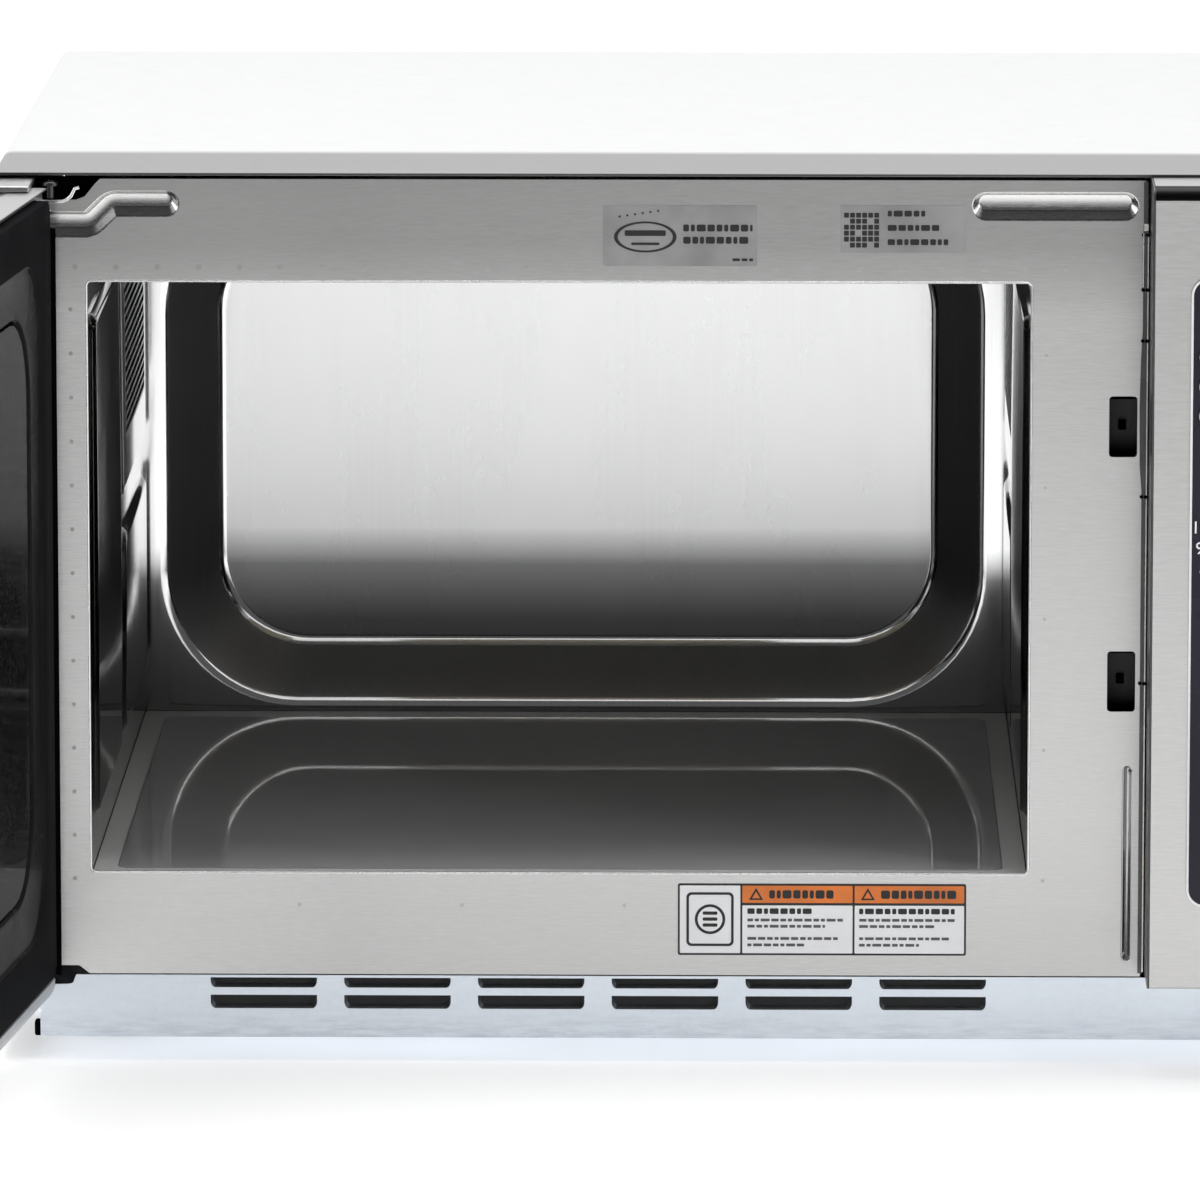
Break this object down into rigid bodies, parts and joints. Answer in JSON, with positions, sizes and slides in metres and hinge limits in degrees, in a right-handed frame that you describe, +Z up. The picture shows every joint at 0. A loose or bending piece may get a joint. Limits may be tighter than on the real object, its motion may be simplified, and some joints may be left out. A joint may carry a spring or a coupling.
{
  "type": "microwave oven",
  "caption": "Stainless countertop microwave oven with a side-hinged door, louvred base, glass-ceramic shelf, dial and dark keypad strip.",
  "frame": {"origin": "on the standing surface under the middle of the oven with its door stored open", "axes": "+Z up, +Y from the front towards the back, +X to the right as seen from the front"},
  "size_m": [0.645, 0.8765, 0.3528],
  "materials": {
    "stainless": "fine horizontal brushed grain, satin",
    "cavity_steel": "polished stainless sheet with soft reflections",
    "galvanised": "pale blue-grey galvanised sheet, satin",
    "zinc": "bright zinc plate",
    "black_plastic": "satin black moulding",
    "dark_glass": "polished dark glass-ceramic",
    "window_glass": "smoked window glass",
    "overlay": "violet-black film, satin gloss",
    "rubber": "matt moulded rubber",
    "white_plastic": "natural white moulding",
    "mica": "matt mineral board",
    "copper": "enamelled copper winding",
    "lamination": "stacked steel laminations",
    "aluminium": "mill finish",
    "board": "green circuit board",
    "foam": "dark open mesh filter"
  },
  "bodies": {
    "cabinet": {"air_duct": "black_plastic", "back_panel": "galvanised", "base_plate": "galvanised", "cavity_back": "cavity_steel", "cavity_shell": "cavity_steel", "control_board": "board", "control_panel": "stainless", "cord_gland": "black_plastic", "dial_encoder": "zinc", "fan_motor": "zinc", "fan_shroud": "zinc", "floor_shelf": "dark_glass", "foot_front_left": "rubber", "foot_front_right": "rubber", "foot_rear_left": "rubber", "foot_rear_right": "rubber", "front_frame": "stainless", "hv_capacitor": "aluminium", "hv_diode": "black_plastic", "intake_filter": "foam", "keypad_overlay": "overlay", "lamp_holder": "white_plastic", "latch_board": "black_plastic", "line_filter": "board", "lower_hinge": "zinc", "lower_switch": "black_plastic", "magnetron": "aluminium", "magnetron_fins": "aluminium", "outer_case": "stainless", "oven_lamp": "white_plastic", "panel_bracket": "galvanised", "shelf_seal": "cavity_steel", "stirrer_cover": "mica", "stirrer_motor": "zinc", "thermal_cutout": "black_plastic", "transformer_coils": "copper", "transformer_core": "lamination", "upper_hinge": "zinc", "upper_switch": "black_plastic", "waveguide": "cavity_steel"},
    "door": {"door_skin": "stainless", "door_inner_plate": "zinc", "choke_cover": "black_plastic", "door_inner_glass": "window_glass", "door_screen": "black_plastic", "door_outer_glass": "window_glass", "lower_bush": "white_plastic", "upper_bush": "white_plastic", "door_handle": "stainless", "latch_spring": "zinc"},
    "latch": {"door_latch": "zinc"},
    "dial": {"dial_knob": "black_plastic"},
    "top_key": {"key_1": "black_plastic"},
    "middle_key": {"key_2": "black_plastic"},
    "bottom_key": {"key_3": "black_plastic"},
    "fan": {"fan_blade": "black_plastic"},
    "stirrer": {"stirrer_antenna": "aluminium"},
    "lower_plunger_body": {"lower_plunger": "white_plastic"},
    "upper_plunger_body": {"upper_plunger": "white_plastic"}
  },
  "joints": [
    {"name": "door_hinge", "type": "hinge", "parent": "cabinet", "child": "door", "pos_m": [-0.227, 0.0002, 0.18], "axis": [0, 0, 1], "range_deg": [-13.4, 96.6]},
    {"name": "latch_slide", "type": "slide", "parent": "door", "child": "latch", "axis": [0, 0, 1], "range_m": [0, 0.005], "stiffness_N_per_m": 400, "springref_m": -0.004, "deforming": ["latch_spring"]},
    {"name": "dial_turn", "type": "hinge", "parent": "cabinet", "child": "dial", "pos_m": [0.269, -0.0153, 0.112], "axis": [0, 1, 0], "continuous": true},
    {"name": "key_1_press", "type": "slide", "parent": "cabinet", "child": "top_key", "axis": [0, 1, 0], "range_m": [0, 0.0006], "stiffness_N_per_m": 800, "springref_m": -0.0003},
    {"name": "key_2_press", "type": "slide", "parent": "cabinet", "child": "middle_key", "axis": [0, 1, 0], "range_m": [0, 0.0006], "stiffness_N_per_m": 800, "springref_m": -0.0003},
    {"name": "key_3_press", "type": "slide", "parent": "cabinet", "child": "bottom_key", "axis": [0, 1, 0], "range_m": [0, 0.0006], "stiffness_N_per_m": 800, "springref_m": -0.0003},
    {"name": "fan_spin", "type": "hinge", "parent": "cabinet", "child": "fan", "pos_m": [0.249, 0.4032, 0.205], "axis": [0, 1, 0], "continuous": true},
    {"name": "stirrer_spin", "type": "hinge", "parent": "cabinet", "child": "stirrer", "pos_m": [-0.0147, 0.1872, 0.318], "axis": [0, 0, 1], "continuous": true},
    {"name": "lower_plunger_press", "type": "slide", "parent": "cabinet", "child": "lower_plunger_body", "axis": [0, 1, 0], "range_m": [0, 0.0015], "stiffness_N_per_m": 300, "springref_m": -0.0005},
    {"name": "upper_plunger_press", "type": "slide", "parent": "cabinet", "child": "upper_plunger_body", "axis": [0, 1, 0], "range_m": [0, 0.0015], "stiffness_N_per_m": 300, "springref_m": -0.0005}
  ]
}
